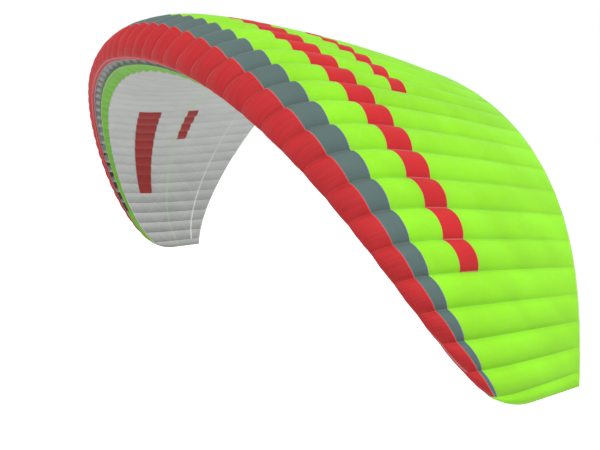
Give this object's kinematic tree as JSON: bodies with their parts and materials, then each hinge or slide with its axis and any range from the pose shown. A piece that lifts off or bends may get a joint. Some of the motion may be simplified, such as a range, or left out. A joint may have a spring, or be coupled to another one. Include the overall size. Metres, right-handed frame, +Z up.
{
  "type": "paraglider wing",
  "caption": "Paraglider wing in flight: an inflated, arched ram-air canopy with swollen cells, air inlets along the nose and rounded tips",
  "frame": {"origin": "on the lower sail at the centre rib, 37 percent of the chord back, where the middle row of lines holds the wing", "axes": "+X along the span towards the wing's left tip, +Y aft from the nose to the trailing edge, +Z up, away from the lines"},
  "size_m": [8.9294, 2.7654, 2.9877],
  "materials": {
    "red_cloth": "coated ripstop nylon, satin",
    "grey_cloth": "coated ripstop nylon, satin",
    "green_cloth": "coated ripstop nylon, satin",
    "strip_cloth": "coated ripstop nylon, satin",
    "white_cloth": "coated ripstop nylon, satin, slightly sheer",
    "rib_cloth": "stiff coated ripstop nylon, matt"
  },
  "bodies": {
    "root": {"nose_band_left": "red_cloth", "nose_band_right": "red_cloth", "grey_band": "grey_cloth", "upper_sail": "green_cloth", "lower_strip": "strip_cloth", "lower_sail_left": "white_cloth", "lower_sail_right": "white_cloth", "nose_closure_left": "strip_cloth", "nose_closure_right": "strip_cloth", "tip_cap_left": "green_cloth", "tip_cap_right": "green_cloth", "tip_under_left": "white_cloth", "tip_under_right": "white_cloth", "rib_centre": "rib_cloth", "rib_left_01": "rib_cloth", "rib_left_02": "rib_cloth", "rib_left_03": "rib_cloth", "rib_left_04": "rib_cloth", "rib_left_05": "rib_cloth", "rib_left_06": "rib_cloth", "rib_left_07": "rib_cloth", "rib_left_08": "rib_cloth", "rib_left_09": "rib_cloth", "rib_left_10": "rib_cloth", "rib_left_11": "rib_cloth", "rib_left_12": "rib_cloth", "rib_left_13": "rib_cloth", "rib_left_14": "rib_cloth", "rib_left_15": "rib_cloth", "rib_left_16": "rib_cloth", "rib_left_17": "rib_cloth", "rib_left_18": "rib_cloth", "rib_left_19": "rib_cloth", "rib_left_20": "rib_cloth", "rib_left_21": "rib_cloth", "rib_left_22": "rib_cloth", "rib_left_23": "rib_cloth", "rib_right_01": "rib_cloth", "rib_right_02": "rib_cloth", "rib_right_03": "rib_cloth", "rib_right_04": "rib_cloth", "rib_right_05": "rib_cloth", "rib_right_06": "rib_cloth", "rib_right_07": "rib_cloth", "rib_right_08": "rib_cloth", "rib_right_09": "rib_cloth", "rib_right_10": "rib_cloth", "rib_right_11": "rib_cloth", "rib_right_12": "rib_cloth", "rib_right_13": "rib_cloth", "rib_right_14": "rib_cloth", "rib_right_15": "rib_cloth", "rib_right_16": "rib_cloth", "rib_right_17": "rib_cloth", "rib_right_18": "rib_cloth", "rib_right_19": "rib_cloth", "rib_right_20": "rib_cloth", "rib_right_21": "rib_cloth", "rib_right_22": "rib_cloth", "rib_right_23": "rib_cloth"}
  },
  "joints": []
}
